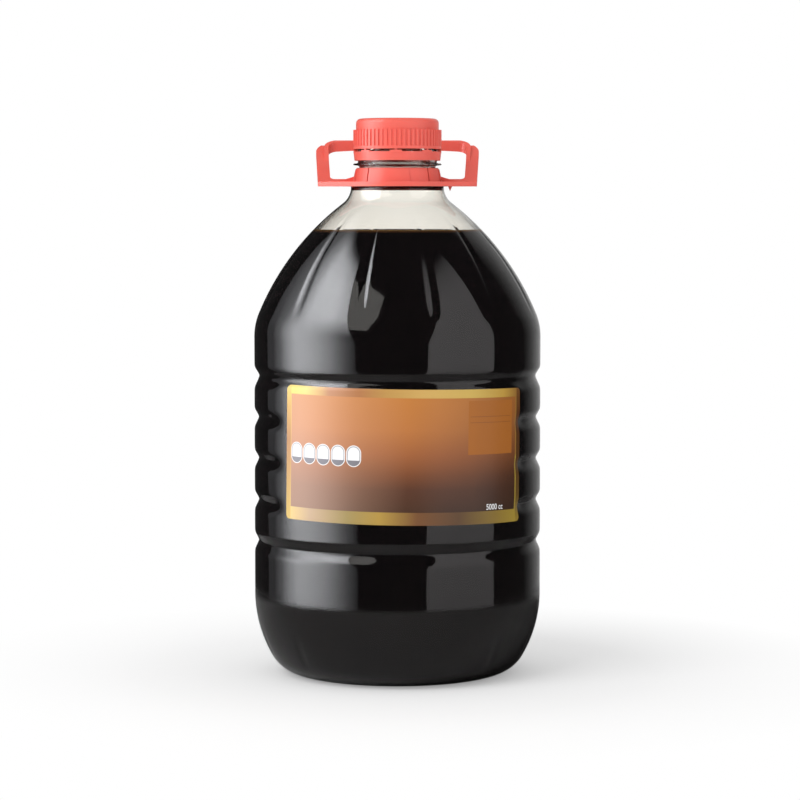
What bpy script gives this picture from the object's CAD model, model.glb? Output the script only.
from math import asin, atan2, cos, degrees, hypot, pi, radians, sin, sqrt

import bmesh
import bpy
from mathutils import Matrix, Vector


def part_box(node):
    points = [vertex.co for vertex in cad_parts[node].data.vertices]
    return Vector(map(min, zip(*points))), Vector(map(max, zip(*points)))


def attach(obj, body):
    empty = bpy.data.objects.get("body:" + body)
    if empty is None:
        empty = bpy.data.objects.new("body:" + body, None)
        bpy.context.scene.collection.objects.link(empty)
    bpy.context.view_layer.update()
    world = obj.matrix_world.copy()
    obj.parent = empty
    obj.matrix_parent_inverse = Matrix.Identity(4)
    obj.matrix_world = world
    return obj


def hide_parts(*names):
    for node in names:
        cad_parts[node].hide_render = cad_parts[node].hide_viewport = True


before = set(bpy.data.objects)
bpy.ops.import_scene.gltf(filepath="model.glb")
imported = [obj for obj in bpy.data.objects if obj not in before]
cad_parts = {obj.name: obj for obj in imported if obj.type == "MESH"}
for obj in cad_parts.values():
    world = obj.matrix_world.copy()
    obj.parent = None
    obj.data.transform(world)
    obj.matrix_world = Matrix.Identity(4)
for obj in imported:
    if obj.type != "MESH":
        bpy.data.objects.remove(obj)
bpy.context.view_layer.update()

MM = 0.001

# ------------------------------------------------------------------ sizes, in millimetres


def node_box(name):
    """Lowest and highest corners of a CAD node in millimetres."""
    low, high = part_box(name)
    return [value / MM for value in low], [value / MM for value in high]


BOTTLE_HIGH = node_box("bottle")[1]
LABEL_LOW, LABEL_HIGH = node_box("label")

R = BOTTLE_HIGH[0]                      # body radius
LIP_Z = BOTTLE_HIGH[2]
LEVEL = node_box("soy_sauce")[1][2]
WALL = 0.6
LIP_HEIGHT = 37.3
STEP_Z = LIP_Z - LIP_HEIGHT             # the step that carries the handle

BASE_ROUND, BASE_Z, BASE_TURN = 73.5, 47.1, radians(30.0)
PUSH_UP_RADIUS, PUSH_UP = 46.0, 9.0
SHOULDER_ROUND, SHOULDER_Z, SHOULDER_TURN = 35.3, 196.3, radians(22.5)
UPPER_ROUND = 154.5
NECK_FILLET = 12.0
STEP_RADIUS = 26.9
NECK_RADIUS, NECK_BORE, FINISH_RADIUS = 22.0, 20.2, 22.9
RING_RADIUS, RING_Z, RING_THICK = 25.6, 12.0, 1.3

# grooves: height, depth, half width below and above
LOW_RING = (77.7, 2.8, 5.6, 5.2)
HIGH_RING = (173.7, 3.4, 7.0, 5.2)
FRONT_BELOW = 3.9                       # the high ring is narrower over the label panel
FRONT_DEPTH = 0.8                       # share of its depth kept there
SIDE_DEPTH, SIDE_BELOW, SIDE_ABOVE = 3.0, 5.8, 5.0
SIDE_GROOVES = 3
FADE_FROM, FADE_TO = 50.0, 62.0         # azimuth where the side grooves fade in
GROOVE_ROOT, GROOVE_LIP = 0.16, 0.14    # rounding, as a share of the half width

FLUTES = 12
FLUTE_BOTTOM, FLUTE_TOP, FLUTE_DEPTH = 206.0, 272.0, 1.1
FLUTE_WIDE, FLUTE_NARROW = 2.4, 1.3
FLUTE_TIP = 0.18                        # share of the length over which the lower tip widens
FLUTE_SHALLOW = (0.25, 0.35)            # shares over which the depth grows, from below and from above
CREASE_BOTTOM, CREASE_TOP, CREASE_DEPTH, CREASE_WIDE = 6.0, 31.0, 0.7, 2.6
CREASE_SHALLOW = (0.4, 0.5)
LIP_FOOT = 0.005                        # what vee() leaves at the edge of a groove

LABEL_W, LABEL_H, LABEL_CORNER = 151.8, 75.8, 2.4
LABEL_MIDDLE, LABEL_TILT = radians(3.8), radians(0.9)
LABEL_Z = (LABEL_LOW[2] + LABEL_HIGH[2]) / 2
LABEL_GAP, LABEL_THICK = 0.08, 0.16
LABEL_COLUMNS, LABEL_ROWS, LABEL_CORNER_ROWS = 150, 60, 6
LABEL_SHARP = 50.0                      # degrees

UV_SCALE = 100.0                        # millimetres of label in one unit of its map

TEXT_SIZE, TEXT_WIDTH, TEXT_LEFT, TEXT_BOTTOM = 4.6, 12.4, 48.4, 7.9
TEXT_BOLD, INK_LIFT = 0.05, 0.03

# how far in from the wall, and how far down from the level, the sauce's surface runs
MENISCUS = ((0.8, 0.35), (1.8, 0.6), (3.5, 0.7), (14.0, 0.7), (34.0, 0.7))
MENISCUS_REACH = 3.0                    # the flutes' shape has faded this far in

AROUND = 216                            # points round the bottle
PUSH_STEPS, FOOT_STEPS, BASE_STEPS = 14, 16, 26
WALL_STEP = 1.0
SHOULDER_STEPS, UPPER_STEPS, FILLET_STEPS = 10, 52, 10


# ------------------------------------------------------------------ the bottle's surface


def arc(centre, radius, start, end, count):
    """Points along an arc, as (radius, height, normal radius, normal height), normals outward."""
    points = []
    for index in range(count + 1):
        turn = start + (end - start) * index / count
        nx, nz = cos(turn), sin(turn)
        points.append((centre[0] + radius * nx, centre[1] + radius * nz, nx, nz))
    return points


def section():
    """The body's outer section from the middle of the foot up to the step, without grooves."""
    push_round = (PUSH_UP_RADIUS**2 + PUSH_UP**2) / (2 * PUSH_UP)
    base = (R - BASE_ROUND, BASE_Z)
    foot_round = (BASE_Z - BASE_ROUND * sin(BASE_TURN)) / (1 - sin(BASE_TURN))
    foot = (base[0] + (BASE_ROUND - foot_round) * cos(BASE_TURN), foot_round)
    shoulder = (R - SHOULDER_ROUND, SHOULDER_Z)
    upper = (
        shoulder[0] - (UPPER_ROUND - SHOULDER_ROUND) * cos(SHOULDER_TURN),
        shoulder[1] - (UPPER_ROUND - SHOULDER_ROUND) * sin(SHOULDER_TURN),
    )
    hollow_x = STEP_RADIUS + NECK_FILLET
    hollow = (hollow_x, upper[1] + sqrt((UPPER_ROUND + NECK_FILLET) ** 2 - (hollow_x - upper[0]) ** 2))
    upper_turn = atan2(hollow[1] - upper[1], hollow[0] - upper[0])

    points = []
    rim_turn = asin(PUSH_UP_RADIUS / push_round)
    for index in range(1, PUSH_STEPS + 1):
        turn = rim_turn * index / PUSH_STEPS
        points.append((push_round * sin(turn), PUSH_UP - push_round * (1 - cos(turn)), 0.0, -1.0))
    points += arc(foot, foot_round, -pi / 2, -BASE_TURN, FOOT_STEPS)
    points += arc(base, BASE_ROUND, -BASE_TURN, 0, BASE_STEPS)[1:]
    wall_steps = int((SHOULDER_Z - BASE_Z) / WALL_STEP)
    for index in range(1, wall_steps):
        points.append((R, BASE_Z + (SHOULDER_Z - BASE_Z) * index / wall_steps, 1.0, 0.0))
    points += arc(shoulder, SHOULDER_ROUND, 0, SHOULDER_TURN, SHOULDER_STEPS)
    points += arc(upper, UPPER_ROUND, SHOULDER_TURN, upper_turn, UPPER_STEPS)[1:]
    for radius, height, nx, nz in arc(hollow, NECK_FILLET, pi + upper_turn, pi, FILLET_STEPS)[1:]:
        points.append((radius, height, -nx, -nz))
    return points


def smooth(low, high, value):
    """Smooth step from 0 at low to 1 at high."""
    share = min(max((value - low) / (high - low), 0.0), 1.0)
    return share * share * (3 - 2 * share)


def vee(offset, below, above):
    """Rounded V: 1 at its root, 0 outside its half widths."""
    share = offset / above if offset > 0 else -offset / below
    rise = 1 - sqrt(share * share + GROOVE_ROOT**2)
    return (rise + sqrt(rise * rise + GROOVE_LIP**2)) / 2


def from_panel(azimuth):
    """Degrees from the middle of the nearer smooth panel, front or back."""
    turn = abs((degrees(azimuth) + 180) % 360 - 180)
    return min(turn, 180 - turn)


def ring_depth(azimuth, height):
    """Depth of the grooves that run round the body."""
    side = smooth(FADE_FROM, FADE_TO, from_panel(azimuth))
    depth = LOW_RING[1] * vee(height - LOW_RING[0], LOW_RING[2], LOW_RING[3])
    below = FRONT_BELOW + (HIGH_RING[2] - FRONT_BELOW) * side
    share = FRONT_DEPTH + (1 - FRONT_DEPTH) * side
    depth += share * HIGH_RING[1] * vee(height - HIGH_RING[0], below, HIGH_RING[3])
    pitch = (HIGH_RING[0] - LOW_RING[0]) / (SIDE_GROOVES + 1)
    for index in range(SIDE_GROOVES):
        middle = LOW_RING[0] + pitch * (index + 1)
        depth += side * SIDE_DEPTH * vee(height - middle, SIDE_BELOW, SIDE_ABOVE)
    return depth


def flute_depth(azimuth, radius, height):
    """Depth of the shoulder flutes and of the creases round the base."""
    pitch = 2 * pi / FLUTES
    turn = (azimuth / pitch) % 1.0 - 0.5
    across = abs(turn * pitch * radius)
    depth = 0.0
    if FLUTE_BOTTOM < height < FLUTE_TOP:
        up = (height - FLUTE_BOTTOM) / (FLUTE_TOP - FLUTE_BOTTOM)
        width = FLUTE_WIDE + (FLUTE_NARROW - FLUTE_WIDE) * up
        width *= min(1.0, sqrt(up / FLUTE_TIP))
        ends = smooth(0, FLUTE_SHALLOW[0], up) * smooth(0, FLUTE_SHALLOW[1], 1 - up)
        depth += FLUTE_DEPTH * ends * max(vee(across, width, width) - LIP_FOOT, 0)
    if CREASE_BOTTOM < height < CREASE_TOP:
        up = (height - CREASE_BOTTOM) / (CREASE_TOP - CREASE_BOTTOM)
        ends = smooth(0, CREASE_SHALLOW[0], up) * smooth(0, CREASE_SHALLOW[1], 1 - up)
        depth += CREASE_DEPTH * ends * vee(across, CREASE_WIDE, CREASE_WIDE)
    return depth


def skin_point(azimuth, point, inset):
    """Point of the skin at an azimuth from the front, set in from the outer skin by inset."""
    radius, height, nx, nz = point
    drop = inset + flute_depth(azimuth, radius, height)
    if BASE_Z < height < SHOULDER_Z:
        drop += ring_depth(azimuth, height)
    radius = max(radius - nx * drop, 0.0)
    height = height - nz * drop
    return place(azimuth, radius, height)


def place(azimuth, radius, height):
    """Metres, from an azimuth measured from the front (-Y) towards +X."""
    return (radius * sin(azimuth) * MM, -radius * cos(azimuth) * MM, height * MM)


def wall_radius(azimuth, height):
    """Radius of the outer skin on the straight wall."""
    return R - ring_depth(azimuth, height)


def lathe(rows, count=AROUND):
    """Vertices and faces of rings of points, closed at both ends; a row is a function of the azimuth."""
    vertices = []
    faces = []
    for row in rows:
        for index in range(count):
            vertices.append(row(2 * pi * index / count))
    for row_index in range(len(rows) - 1):
        for index in range(count):
            following = (index + 1) % count
            here, above = row_index * count, (row_index + 1) * count
            faces.append((here + index, here + following, above + following, above + index))
    for start in (0, (len(rows) - 1) * count):
        ring = vertices[start:start + count]
        vertices.append(tuple(sum(v[axis] for v in ring) / count for axis in range(3)))
        tip = len(vertices) - 1
        for index in range(count):
            here, following = start + index, start + (index + 1) % count
            faces.append((tip, here, following) if start else (tip, following, here))
    return vertices, faces


def mesh_object(name, vertices, faces, sharp=None):
    """A smooth-shaded mesh object in the row frame."""
    mesh = bpy.data.meshes.new(name)
    mesh.from_pydata(vertices, [], faces)
    mesh.validate()
    mesh.update()
    work = bmesh.new()
    work.from_mesh(mesh)
    bmesh.ops.recalc_face_normals(work, faces=work.faces)
    work.to_mesh(mesh)
    work.free()
    mesh.shade_smooth()
    if sharp:
        mesh.set_sharp_from_angle(angle=radians(sharp))
    obj = bpy.data.objects.new(name, mesh)
    bpy.context.scene.collection.objects.link(obj)
    return obj


def skin_rows(points, inset):
    """Row functions of the body's skin through these points of its section."""
    return [lambda azimuth, p=point: skin_point(azimuth, p, inset) for point in points]


def ring_row(radius, height):
    """Row function of a plain circle."""
    return lambda azimuth: place(azimuth, radius, height)


def build_bottle():
    """The clear shell: outer skin, neck, lip, bore and inner skin as one closed mesh."""
    ring = STEP_Z + RING_Z
    rows = skin_rows(section(), 0.0)
    rows += [ring_row(radius, height) for radius, height in (
        (STEP_RADIUS - 0.15, STEP_Z - 0.05),
        (STEP_RADIUS - 0.5, STEP_Z - 0.02),
        (NECK_RADIUS + 0.6, STEP_Z - 0.02),
        (NECK_RADIUS, STEP_Z + 0.5),
        (NECK_RADIUS, ring - 1.2),
        (NECK_RADIUS + 0.25, ring - 0.4),
        (NECK_RADIUS + 1.0, ring),
        (RING_RADIUS - 0.5, ring + 0.25),
        (RING_RADIUS - 0.1, ring + 0.4),
        (RING_RADIUS, ring + 0.65),
        (RING_RADIUS - 0.1, ring + 0.9),
        (RING_RADIUS - 0.5, ring + RING_THICK - 0.1),
        (FINISH_RADIUS + 0.6, ring + RING_THICK),
        (FINISH_RADIUS, ring + RING_THICK + 0.5),
        (FINISH_RADIUS, LIP_Z - 0.6),
        (FINISH_RADIUS - 0.6, LIP_Z),
        (NECK_BORE + 0.6, LIP_Z),
        (NECK_BORE, LIP_Z - 0.6),
        (NECK_BORE, STEP_Z + 2.0),
        (NECK_BORE + 0.5, STEP_Z - 0.6),
        (STEP_RADIUS - WALL - 2.0, STEP_Z - 1.5),
    )]
    rows += list(reversed(skin_rows(section(), WALL)))[1:]
    vertices, faces = lathe(rows)
    shell = mesh_object("clear_shell", vertices, faces)
    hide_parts("bottle")
    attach(shell, "root")
    return shell


def build_liquid():
    """The sauce, which reaches half way into the wall so that no gap shows."""
    inset = WALL / 2
    points = section()
    over = next(i for i, p in enumerate(points) if p[1] > LEVEL)
    last, after = points[over - 1], points[over]
    share = (LEVEL - last[1]) / (after[1] - last[1])
    edge = tuple(a + (b - a) * share for a, b in zip(last, after))
    rows = skin_rows(points[:over] + [edge], inset)
    for back, drop in MENISCUS:
        rows.append(lambda azimuth, b=back, d=drop: meniscus_point(azimuth, edge, inset, b, d))
    vertices, faces = lathe(rows)
    liquid = mesh_object("dark_sauce", vertices, faces)
    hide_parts("soy_sauce")
    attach(liquid, "root")
    return liquid


def meniscus_point(azimuth, edge, inset, back, drop):
    """Point of the sauce's surface, a little way in from the wall."""
    x, y, z = skin_point(azimuth, edge, inset)
    plain = edge[0] - edge[2] * inset
    radius = plain + (hypot(x, y) / MM - plain) * max(1 - back / MENISCUS_REACH, 0)
    return place(azimuth, radius - back, LEVEL - drop)


# ------------------------------------------------------------------ label


def label_to_frame(u, v, lift):
    """A place on the label (arc length from its middle, height over its middle) in the row frame."""
    across = u * cos(LABEL_TILT) + v * sin(LABEL_TILT)
    up = v * cos(LABEL_TILT) - u * sin(LABEL_TILT)
    azimuth = LABEL_MIDDLE + across / (R + LABEL_GAP)
    height = LABEL_Z + up
    return place(azimuth, wall_radius(azimuth, height) + lift, height)


def build_label():
    """A thin sheet that follows the panel and dips into the groove ends at its right edge."""
    columns, half_w, half_h = LABEL_COLUMNS, LABEL_W / 2, LABEL_H / 2
    heights = []
    for index in range(LABEL_CORNER_ROWS):
        heights.append(-half_h + LABEL_CORNER * (1 - cos(pi / 2 * index / LABEL_CORNER_ROWS)))
    for index in range(LABEL_ROWS + 1):
        heights.append(-half_h + LABEL_CORNER + (LABEL_H - 2 * LABEL_CORNER) * index / LABEL_ROWS)
    heights += [-height for height in reversed(heights[:LABEL_CORNER_ROWS])]

    vertices, faces, spots = [], [], []
    for lift in (LABEL_GAP + LABEL_THICK, LABEL_GAP):
        for v in heights:
            over = max(abs(v) - (half_h - LABEL_CORNER), 0.0)
            inset = LABEL_CORNER - sqrt(max(LABEL_CORNER**2 - over**2, 0.0))
            for index in range(columns + 1):
                u = (half_w - inset) * (2 * index / columns - 1)
                vertices.append(label_to_frame(u, v, lift))
                spots.append((u, v + half_h))
    per_row, rows = columns + 1, len(heights)
    layer_size = per_row * rows
    for row in range(rows - 1):
        for index in range(columns):
            a = row * per_row + index
            faces.append((a, a + 1, a + per_row + 1, a + per_row))
            b = a + layer_size
            faces.append((b, b + per_row, b + per_row + 1, b + 1))
    border = list(range(per_row))
    border += [row * per_row + columns for row in range(1, rows)]
    border += [(rows - 1) * per_row + i for i in range(columns - 1, -1, -1)]
    border += [row * per_row for row in range(rows - 2, 0, -1)]
    for index, a in enumerate(border):
        b = border[(index + 1) % len(border)]
        faces.append((a, a + layer_size, b + layer_size, b))
    label = mesh_object("wrap_label", vertices, faces, LABEL_SHARP)
    layout = label.data.uv_layers.new(name="print")
    for loop in label.data.loops:
        u, v = spots[loop.vertex_index]
        layout.data[loop.index].uv = (u / UV_SCALE, v / UV_SCALE)
    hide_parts("label")
    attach(label, "root")
    return label


def build_volume_text():
    """The plain volume, 5000 cc, printed in white near the label's lower right corner."""
    curve = bpy.data.curves.new("volume", "FONT")
    curve.body = "5000 cc"
    curve.size = TEXT_SIZE
    curve.offset = TEXT_BOLD
    holder = bpy.data.objects.new("volume", curve)
    bpy.context.scene.collection.objects.link(holder)
    bpy.context.view_layer.update()
    mesh = bpy.data.meshes.new_from_object(holder)
    bpy.data.objects.remove(holder)
    work = bmesh.new()
    work.from_mesh(mesh)
    bmesh.ops.triangulate(work, faces=work.faces)
    work.to_mesh(mesh)
    work.free()
    left = min(v.co.x for v in mesh.vertices)
    width = max(v.co.x for v in mesh.vertices) - left
    squeeze = TEXT_WIDTH / width
    for vertex in mesh.vertices:
        u = TEXT_LEFT + (vertex.co.x - left) * squeeze
        v = TEXT_BOTTOM + vertex.co.y - LABEL_H / 2
        vertex.co = label_to_frame(u, v, LABEL_GAP + LABEL_THICK + INK_LIFT)
    text = bpy.data.objects.new("volume_print", mesh)
    bpy.context.scene.collection.objects.link(text)
    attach(text, "root")
    return text


# ------------------------------------------------------------------ materials


def colour(red, green, blue):
    """Linear colour from display values 0 to 255."""
    out = []
    for value in (red, green, blue):
        share = value / 255
        out.append(share / 12.92 if share <= 0.04045 else ((share + 0.055) / 1.055) ** 2.4)
    return (*out, 1.0)


class Net:
    """Short hand for a material's node tree."""

    def __init__(self, name):
        self.material = bpy.data.materials.new(name)
        self.material.use_nodes = True
        self.tree = self.material.node_tree
        self.shader = self.tree.nodes["Principled BSDF"]

    def node(self, kind, **settings):
        made = self.tree.nodes.new(kind)
        for key, value in settings.items():
            setattr(made, key, value)
        return made

    def put(self, value, socket):
        """Link a socket, or set a plain value."""
        if isinstance(value, bpy.types.NodeSocket):
            self.tree.links.new(value, socket)
        else:
            socket.default_value = value

    def math(self, operation, *values, clamp=False):
        made = self.node("ShaderNodeMath", operation=operation, use_clamp=clamp)
        for index, value in enumerate(values):
            self.put(value, made.inputs[index])
        return made.outputs[0]

    def mix(self, share, first, second):
        made = self.node("ShaderNodeMix", data_type="RGBA")
        self.put(share, made.inputs["Factor"])
        self.put(first, made.inputs["A"])
        self.put(second, made.inputs["B"])
        return made.outputs["Result"]

    def ramp(self, share, stops):
        made = self.node("ShaderNodeValToRGB")
        band = made.color_ramp
        while len(band.elements) < len(stops):
            band.elements.new(0.5)
        for element, (position, tint) in zip(band.elements, stops):
            element.position = position
            element.color = tint
        self.put(share, made.inputs[0])
        return made.outputs[0]

    def noise(self, scale, detail=2.0, stretch=(1, 1, 1)):
        """Noise in object space; scale is in waves per metre."""
        spot = self.node("ShaderNodeTexCoord").outputs["Object"]
        mapping = self.node("ShaderNodeMapping")
        mapping.inputs["Scale"].default_value = stretch
        self.tree.links.new(spot, mapping.inputs["Vector"])
        made = self.node("ShaderNodeTexNoise")
        made.inputs["Scale"].default_value = scale
        made.inputs["Detail"].default_value = detail
        self.tree.links.new(mapping.outputs[0], made.inputs["Vector"])
        return made.outputs["Fac"]

    def bump(self, height, strength, distance):
        made = self.node("ShaderNodeBump")
        made.inputs["Strength"].default_value = strength
        made.inputs["Distance"].default_value = distance
        self.tree.links.new(height, made.inputs["Height"])
        self.tree.links.new(made.outputs[0], self.shader.inputs["Normal"])

    def set(self, **values):
        for key, value in values.items():
            self.put(value, self.shader.inputs[key.replace("_", " ")])


def clear_plastic():
    """Clear PET with a faint ivory cast and slight waviness from blow moulding."""
    net = Net("clear_plastic")
    wave = net.noise(18, stretch=(1, 1, 0.45))
    tint = net.mix(wave, colour(255, 254, 250), colour(253, 250, 243))
    net.set(Base_Color=tint, Roughness=net.math("MULTIPLY_ADD", wave, 0.03, 0.015), IOR=1.46)
    net.shader.inputs["Transmission Weight"].default_value = 1.0
    net.bump(wave, 0.12, 0.0008)
    return net.material


LINE_DEPTH = 3.0                        # depth of the brown line under the level, in millimetres


def dark_liquid():
    """Soy sauce: almost black, with a thin brown line where it meets the wall."""
    net = Net("dark_liquid")
    spot = net.node("ShaderNodeTexCoord").outputs["Object"]
    split = net.node("ShaderNodeSeparateXYZ")
    net.tree.links.new(spot, split.inputs[0])
    under = net.math("SUBTRACT", LEVEL * MM, split.outputs["Z"])
    below = net.math("MULTIPLY", under, 1 / (LINE_DEPTH * MM))
    edge = net.ramp(below, [
        (0.0, colour(150, 122, 78)), (0.25, colour(96, 66, 38)), (0.6, colour(34, 20, 16)),
        (1.0, (0, 0, 0, 1)),
    ])
    cloud = net.noise(30)
    deep = net.mix(cloud, colour(15, 11, 14), colour(20, 14, 15))
    rim = net.math("SUBTRACT", 1.0, below, clamp=True)
    net.set(Base_Color=net.mix(rim, deep, edge), IOR=1.36)
    net.set(Roughness=net.math("MULTIPLY_ADD", cloud, 0.03, 0.03))
    return net.material


def moulded_plastic(name):
    """Satin coral-red polyethylene with faint flow marks."""
    net = Net(name)
    flow = net.noise(60, detail=4)
    grain = net.noise(2500, detail=2)
    tint = net.mix(flow, colour(236, 96, 84), colour(243, 110, 97))
    net.set(Base_Color=tint, Roughness=net.math("MULTIPLY_ADD", flow, 0.1, 0.27), IOR=1.5)
    net.shader.inputs["Subsurface Weight"].default_value = 0.15
    net.shader.inputs["Subsurface Scale"].default_value = 0.002
    net.bump(net.math("ADD", grain, net.math("MULTIPLY", flow, 2.0)), 0.2, 0.00012)
    return net.material


EDGE = 0.22                             # softness of a printed edge, in millimetres
BORDER_U = 72.4                         # beyond this the border runs up the label's sides
FIELD = (-72.2, 71.4, 7.2, 71.0)        # left, right, bottom and top of the brown field
TABLE = (35.6, 68.0, 39.2, 69.4)
RULES = (60.3, 57.0)
RULE_LEFT, RULE_RIGHT, RULE_THICK = 36.8, 66.6, 0.28
PILLS = (-72.3, 9.36, 5, 32.0, 44.0, 4.35)
PILL_RIM, PILL_INNER, PILL_LOW = 3.9, 3.35, 35.6


class Print(Net):
    """A net whose masks are drawn in millimetres on the label."""

    def __init__(self, name):
        super().__init__(name)
        uv = self.node("ShaderNodeUVMap", uv_map="print").outputs[0]
        split = self.node("ShaderNodeSeparateXYZ")
        self.tree.links.new(uv, split.inputs[0])
        self.u = self.math("MULTIPLY", split.outputs[0], UV_SCALE)
        self.v = self.math("MULTIPLY", split.outputs[1], UV_SCALE)

    def mask(self, distance):
        """1 where the signed distance is inside, 0 outside."""
        return self.math("MULTIPLY_ADD", distance, -1 / EDGE, 0.5, clamp=True)

    def offset(self, centre):
        dx = self.math("SUBTRACT", self.u, centre[0])
        dy = self.math("SUBTRACT", self.v, centre[1])
        return dx, dy

    def rectangle(self, left, right, bottom, top):
        dx, dy = self.offset(((left + right) / 2, (bottom + top) / 2))
        over_x = self.math("SUBTRACT", self.math("ABSOLUTE", dx), (right - left) / 2)
        over_y = self.math("SUBTRACT", self.math("ABSOLUTE", dy), (top - bottom) / 2)
        return self.mask(self.math("MAXIMUM", over_x, over_y))

    def pills(self, left, pitch, count, bottom, top, half_w):
        """A row of upright capsules: where the row is, and the distance from a capsule's middle line."""
        turn = self.math("DIVIDE", self.math("SUBTRACT", self.u, left), pitch)
        cell = self.math("SUBTRACT", self.math("FRACT", turn), 0.5)
        dx = self.math("ABSOLUTE", self.math("MULTIPLY", cell, pitch))
        dy = self.math("ABSOLUTE", self.math("SUBTRACT", self.v, (bottom + top) / 2))
        rise = self.math("MAXIMUM", self.math("SUBTRACT", dy, (top - bottom) / 2 - half_w), 0.0)
        reach = self.math("SQRT", self.math(
            "ADD", self.math("POWER", dx, 2.0), self.math("POWER", rise, 2.0)))
        row = self.rectangle(left, left + pitch * count, bottom - 1, top + 1)
        return row, reach


def label_print():
    """The label's fields of colour: gold border, brown field, table panel and a row of capsules."""
    net = Print("label_print")
    along = net.math("MULTIPLY_ADD", net.u, 1 / LABEL_W, 0.5, clamp=True)
    up = net.math("DIVIDE", net.v, LABEL_H)
    top_gold = net.ramp(along, [
        (0.0, colour(240, 214, 110)), (0.10, colour(238, 208, 128)), (0.2, colour(190, 138, 104)),
        (0.32, colour(176, 118, 74)), (0.42, colour(190, 146, 78)), (0.55, colour(206, 166, 92)),
        (0.75, colour(204, 172, 84)), (0.9, colour(190, 150, 58)), (1.0, colour(130, 84, 34)),
    ])
    low_gold = net.ramp(along, [
        (0.0, colour(236, 204, 128)), (0.12, colour(190, 160, 128)), (0.28, colour(160, 140, 86)),
        (0.40, colour(180, 146, 66)), (0.54, colour(122, 80, 46)), (0.70, colour(92, 64, 38)),
        (0.88, colour(140, 114, 42)), (1.0, colour(168, 142, 46)),
    ])
    base = net.mix(net.math("GREATER_THAN", up, 0.5), low_gold, top_gold)
    left_side = net.ramp(up, [
        (0.0, colour(214, 182, 96)), (0.35, colour(196, 152, 92)), (0.6, colour(184, 132, 84)),
        (0.85, colour(214, 170, 96)), (1.0, colour(236, 206, 112)),
    ])
    right_side = net.ramp(up, [
        (0.0, colour(150, 124, 40)), (0.2, colour(96, 70, 22)), (0.45, colour(84, 52, 12)),
        (0.8, colour(90, 48, 10)), (1.0, colour(116, 72, 22)),
    ])
    side = net.mix(net.math("GREATER_THAN", net.u, 0.0), left_side, right_side)
    wide = net.math("GREATER_THAN", net.math("ABSOLUTE", net.u), BORDER_U)
    tint = net.mix(wide, base, side)

    field_up = net.ramp(up, [
        (0.09, colour(46, 26, 22)), (0.26, colour(74, 40, 30)), (0.38, colour(120, 66, 36)),
        (0.52, colour(160, 92, 48)), (0.7, colour(188, 116, 56)), (0.95, colour(196, 124, 54)),
    ])
    cloud = net.noise(16, detail=3)
    right = net.math("MULTIPLY_ADD", net.u, 1 / 70, 0.0, clamp=True)
    field = net.mix(net.math("MULTIPLY", right, 0.85), field_up, net.ramp(up, [
        (0.09, colour(22, 10, 8)), (0.35, colour(44, 17, 8)), (0.5, colour(86, 40, 6)),
        (0.8, colour(134, 76, 12)), (1.0, colour(140, 80, 16)),
    ]))
    left = net.math("MULTIPLY_ADD", net.u, -1 / 80, 0.0, clamp=True)
    field = net.mix(net.math("MULTIPLY", left, 0.5), field, colour(222, 178, 152))
    field = net.mix(net.math("MULTIPLY", cloud, 0.12), field, colour(216, 150, 96))
    tint = net.mix(net.rectangle(*FIELD), tint, field)

    table = net.mix(cloud, colour(178, 108, 34), colour(158, 88, 14))
    tint = net.mix(net.rectangle(*TABLE), tint, table)
    for height in RULES:
        rule = net.rectangle(RULE_LEFT, RULE_RIGHT, height, height + RULE_THICK)
        tint = net.mix(net.math("MULTIPLY", rule, 0.7), tint, colour(110, 60, 26))

    row, reach = net.pills(*PILLS)
    outline = net.math("MULTIPLY", row, net.mask(net.math("SUBTRACT", reach, PILLS[-1])))
    tint = net.mix(outline, tint, colour(244, 244, 244))
    rim = net.math("MULTIPLY", row, net.mask(net.math("SUBTRACT", reach, PILL_RIM)))
    tint = net.mix(rim, tint, colour(168, 166, 172))
    inner = net.math("MULTIPLY", row, net.mask(net.math("SUBTRACT", reach, PILL_INNER)))
    tint = net.mix(inner, tint, colour(242, 242, 244))
    low_end = net.math("MULTIPLY", rim, net.mask(net.math("SUBTRACT", net.v, PILL_LOW)))
    tint = net.mix(low_end, tint, colour(128, 126, 132))

    net.set(Base_Color=tint, Roughness=net.math("MULTIPLY_ADD", cloud, 0.08, 0.3))
    net.bump(net.noise(140, detail=3), 0.08, 0.0004)
    return net.material


def white_ink():
    """Opaque white print."""
    net = Net("white_ink")
    tint = net.mix(net.noise(900), colour(246, 246, 246), colour(232, 232, 234))
    net.set(Base_Color=tint, Roughness=0.4)
    return net.material


def paint(obj, material):
    """The one material of an object."""
    obj.data.materials.clear()
    obj.data.materials.append(material)


# ------------------------------------------------------------------ stage, light and camera


def soft_box(name, strength, tint, across_low, across_high, upward):
    """Glow that only reflections see; its spread across changes from the low rows to the high ones."""
    net = Net(name)
    net.tree.nodes.remove(net.shader)
    uv = net.node("ShaderNodeUVMap", uv_map="panel").outputs[0]
    split = net.node("ShaderNodeSeparateXYZ")
    net.tree.links.new(uv, split.inputs[0])
    high = net.math("MULTIPLY_ADD", split.outputs[1], 4.6, -1.4, clamp=True)
    low_row = net.ramp(split.outputs[0], across_low)
    high_row = net.ramp(split.outputs[0], across_high)
    spread = net.math("MULTIPLY", net.mix(high, low_row, high_row), net.ramp(split.outputs[1], upward))
    level = net.math("MULTIPLY", spread, strength)
    glow = net.node("ShaderNodeEmission")
    glow.inputs["Color"].default_value = tint
    net.tree.links.new(level, glow.inputs["Strength"])
    rays = net.node("ShaderNodeLightPath")
    mixer = net.node("ShaderNodeMixShader")
    net.put(net.math("MINIMUM", rays.outputs["Glossy Depth"], 1.0), mixer.inputs[0])
    net.tree.links.new(net.node("ShaderNodeBsdfTransparent").outputs[0], mixer.inputs[1])
    net.tree.links.new(glow.outputs[0], mixer.inputs[2])
    net.tree.links.new(mixer.outputs[0], net.tree.nodes["Material Output"].inputs["Surface"])
    return net.material


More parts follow.
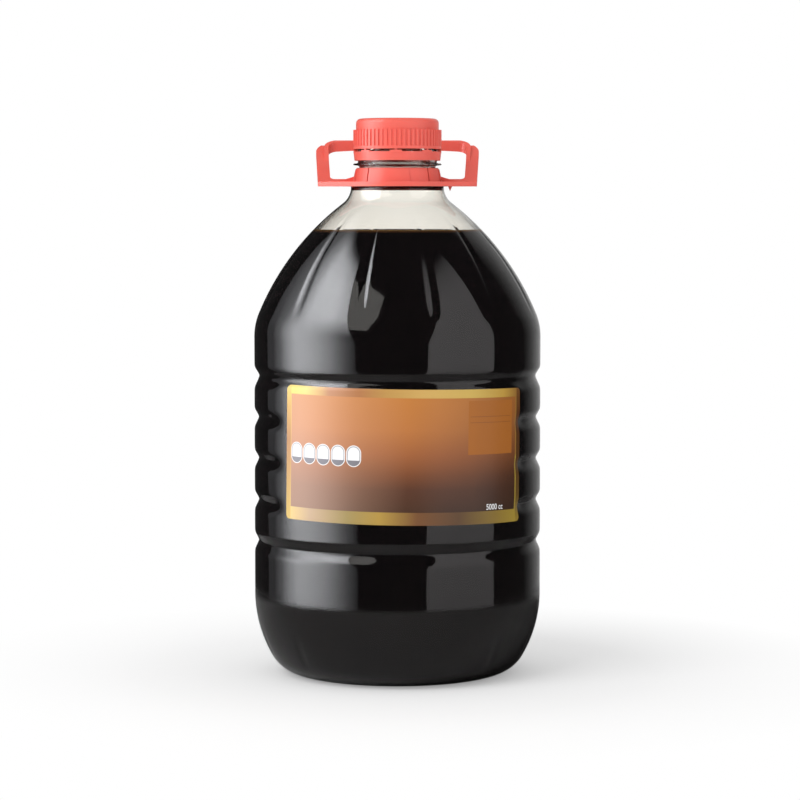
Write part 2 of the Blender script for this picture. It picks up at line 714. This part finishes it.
def grey(level):
    """An opaque grey for a ramp."""
    return (level, level, level, 1.0)


def greys(*pairs):
    """Ramp stops from (place, level) pairs."""
    return [(position, grey(level)) for position, level in pairs]


# stage sizes are in metres
PANEL_LOW, PANEL_HIGH, PANEL_RADIUS = -0.7, 2.6, 1.2
PANEL_STEPS, PANEL_ROWS = 24, 16
FLOOR_SIZE, FLOOR_DROP = 12.0, 0.0002
SHADOW_FLOOR = 0.3                      # least share of white that is laid over the floor's shadow
AMBIENT, MIRRORED = 0.80, 0.03          # world strength for surfaces and in reflections


def light_panel(name, start, end, start_lean, end_lean, material):
    """A curved soft box. Azimuths run right from the front, in degrees, and lean by so much a metre up."""
    steps, rows = PANEL_STEPS, PANEL_ROWS
    vertices, faces, spots = [], [], []
    for index in range(steps + 1):
        for row in range(rows + 1):
            across, up = index / steps, row / rows
            height = PANEL_LOW + (PANEL_HIGH - PANEL_LOW) * up
            first = start + start_lean * max(height, 0)
            last = end + end_lean * max(height, 0)
            turn = radians(first + (last - first) * across)
            vertices.append((PANEL_RADIUS * sin(turn), -PANEL_RADIUS * cos(turn), height))
            spots.append((across, up))
    for index in range(steps):
        for row in range(rows):
            a = index * (rows + 1) + row
            faces.append((a, a + rows + 1, a + rows + 2, a + 1))
    mesh = bpy.data.meshes.new(name)
    mesh.from_pydata(vertices, [], faces)
    layout = mesh.uv_layers.new(name="panel")
    for loop in mesh.loops:
        layout.data[loop.index].uv = spots[loop.vertex_index]
    panel = bpy.data.objects.new(name, mesh)
    bpy.context.scene.collection.objects.link(panel)
    paint(panel, material)
    panel.visible_camera = False
    panel.visible_diffuse = False
    panel.visible_shadow = False
    return panel


def build_floor():
    """Pale floor: its shadow shows near the bottle, it is white beyond, and reflections see its end."""
    net = Net("pale_floor")
    cloud = net.noise(3)
    net.set(Base_Color=net.mix(cloud, colour(250, 250, 250), colour(253, 253, 253)), Roughness=0.8)
    net.shader.inputs["Specular IOR Level"].default_value = 0.0
    rays = net.node("ShaderNodeLightPath")
    spot = net.node("ShaderNodeTexCoord").outputs["Object"]
    reach = net.node("ShaderNodeVectorMath", operation="LENGTH")
    net.tree.links.new(spot, reach.inputs[0])
    mirrored = net.math("MINIMUM", rays.outputs["Glossy Depth"], 1.0)

    white = net.node("ShaderNodeEmission")
    white.inputs["Strength"].default_value = 1.0
    fade = net.math("MULTIPLY_ADD", reach.outputs["Value"], 5.0, -0.45, clamp=True)
    fade = net.math("MAXIMUM", fade, SHADOW_FLOOR)
    seen = net.math("MULTIPLY", net.math("SUBTRACT", 1.0, mirrored), fade)
    seen = net.math("MULTIPLY", seen, net.math("SUBTRACT", 1.0, rays.outputs["Is Diffuse Ray"]))
    pale = net.node("ShaderNodeMixShader")
    net.tree.links.new(seen, pale.inputs[0])
    net.tree.links.new(net.shader.outputs[0], pale.inputs[1])
    net.tree.links.new(white.outputs[0], pale.inputs[2])

    opening = net.node("ShaderNodeBsdfTransparent")
    far = net.math("MULTIPLY_ADD", reach.outputs["Value"], 8.0, -2.4, clamp=True)
    mixer = net.node("ShaderNodeMixShader")
    net.tree.links.new(net.math("MULTIPLY", mirrored, far), mixer.inputs[0])
    net.tree.links.new(pale.outputs[0], mixer.inputs[1])
    net.tree.links.new(opening.outputs[0], mixer.inputs[2])
    net.tree.links.new(mixer.outputs[0], net.tree.nodes["Material Output"].inputs["Surface"])
    size = FLOOR_SIZE
    corners = [(-size, -size, 0), (size, -size, 0), (size, size, 0), (-size, size, 0)]
    mesh = bpy.data.meshes.new("floor")
    mesh.from_pydata(corners, [], [(0, 1, 2, 3)])
    floor = bpy.data.objects.new("floor", mesh)
    bpy.context.scene.collection.objects.link(floor)
    floor.location.z = -FLOOR_DROP
    paint(floor, net.material)


def build_world():
    """White to the camera and through clear plastic, soft grey light on surfaces, dark in gloss."""
    world = bpy.data.worlds.new("studio")
    bpy.context.scene.world = world
    world.use_nodes = True
    tree = world.node_tree
    back = tree.nodes["Background"]
    rays = tree.nodes.new("ShaderNodeLightPath")

    def math(operation, first, second):
        made = tree.nodes.new("ShaderNodeMath")
        made.operation = operation
        for index, value in enumerate((first, second)):
            if isinstance(value, bpy.types.NodeSocket):
                tree.links.new(value, made.inputs[index])
            else:
                made.inputs[index].default_value = value
        return made.outputs[0]

    mirrored = math("MINIMUM", rays.outputs["Glossy Depth"], 1.0)
    through = math("MULTIPLY", rays.outputs["Is Transmission Ray"], math("SUBTRACT", 1.0, mirrored))
    seen = math("MAXIMUM", rays.outputs["Is Camera Ray"], through)
    gloss = tree.nodes.new("ShaderNodeMix")
    gloss.data_type = "FLOAT"
    gloss.inputs["A"].default_value = AMBIENT
    gloss.inputs["B"].default_value = MIRRORED
    tree.links.new(mirrored, gloss.inputs["Factor"])
    level = tree.nodes.new("ShaderNodeMix")
    level.data_type = "FLOAT"
    tree.links.new(seen, level.inputs["Factor"])
    tree.links.new(gloss.outputs["Result"], level.inputs["A"])
    level.inputs["B"].default_value = 1.0
    tree.links.new(level.outputs["Result"], back.inputs["Strength"])
    back.inputs["Color"].default_value = (1, 1, 1, 1)


def build_lights():
    """One soft key from the upper left, and the soft boxes that the glossy bottle mirrors."""
    key = bpy.data.lights.new("key", "AREA")
    key.shape = "RECTANGLE"
    key.size, key.size_y = 1.2, 1.2
    key.energy = 14
    lamp = bpy.data.objects.new("key", key)
    bpy.context.scene.collection.objects.link(lamp)
    lamp.location = (-1.0, -1.1, 1.3)
    lamp.rotation_euler = (Vector((0, 0, 0.2)) - lamp.location).to_track_quat("-Z", "Y").to_euler()
    lamp.visible_glossy = False

    left_low = greys(
        (0.0, 0.05), (0.09, 0.19), (0.165, 0.37), (0.24, 0.59), (0.32, 0.77), (0.40, 0.93),
        (0.49, 1.0), (0.58, 0.96), (0.67, 0.62), (0.78, 0.2), (0.89, 0.05), (1.0, 0.04),
    )
    left_high = greys((0.0, 0.9), (0.2, 1.4), (0.45, 1.25), (0.6, 0.6), (0.75, 0.2), (1.0, 0.05))
    upward = greys((0.0, 0.6), (0.17, 0.72), (0.25, 1.0), (0.65, 1.0), (0.8, 0.7), (0.93, 0.1), (1.0, 0.0))
    left = soft_box("left_soft_box", 6.0, (0.93, 0.95, 1.0, 1), left_low, left_high, upward)
    light_panel("left_panel", -30.4, -123, -14, -8, left)
    flat = greys((0.0, 1.0), (1.0, 0.85))
    right = soft_box("right_soft_box", 0.95, (1.0, 0.98, 1.0, 1), flat, flat, upward)
    light_panel("right_panel", 22.2, 80.6, 12, 0, right)
    rim = greys((0.0, 0.05), (0.4, 0.6), (1.0, 1.0))
    behind = soft_box("rim_soft_box", 0.6, (1, 1, 1, 1), rim, rim, upward)
    light_panel("rim_panel", 118, 172, 0, 0, behind)


LENS, LOOK_DOWN = 128.0, 3.94           # millimetres, degrees
CAMERA_PLACE = (0.0015, -1.656, 0.273)


def build_camera():
    """The camera stands about 1.66 m in front, a little above the sauce, and looks slightly down."""
    data = bpy.data.cameras.new("camera")
    data.lens = LENS
    data.sensor_width = 36.0
    data.clip_start = 0.05
    camera = bpy.data.objects.new("camera", data)
    bpy.context.scene.collection.objects.link(camera)
    camera.location = CAMERA_PLACE
    camera.rotation_euler = (radians(90 - LOOK_DOWN), 0, 0)
    bpy.context.scene.camera = camera


def main():
    scene = bpy.context.scene
    scene.view_settings.view_transform = "Standard"
    paint(build_bottle(), clear_plastic())
    paint(build_liquid(), dark_liquid())
    paint(build_label(), label_print())
    paint(build_volume_text(), white_ink())
    red = moulded_plastic("red_plastic")
    for name in ("cap", "handle"):
        paint(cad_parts[name], red)
    build_floor()
    build_world()
    build_lights()
    build_camera()


main()
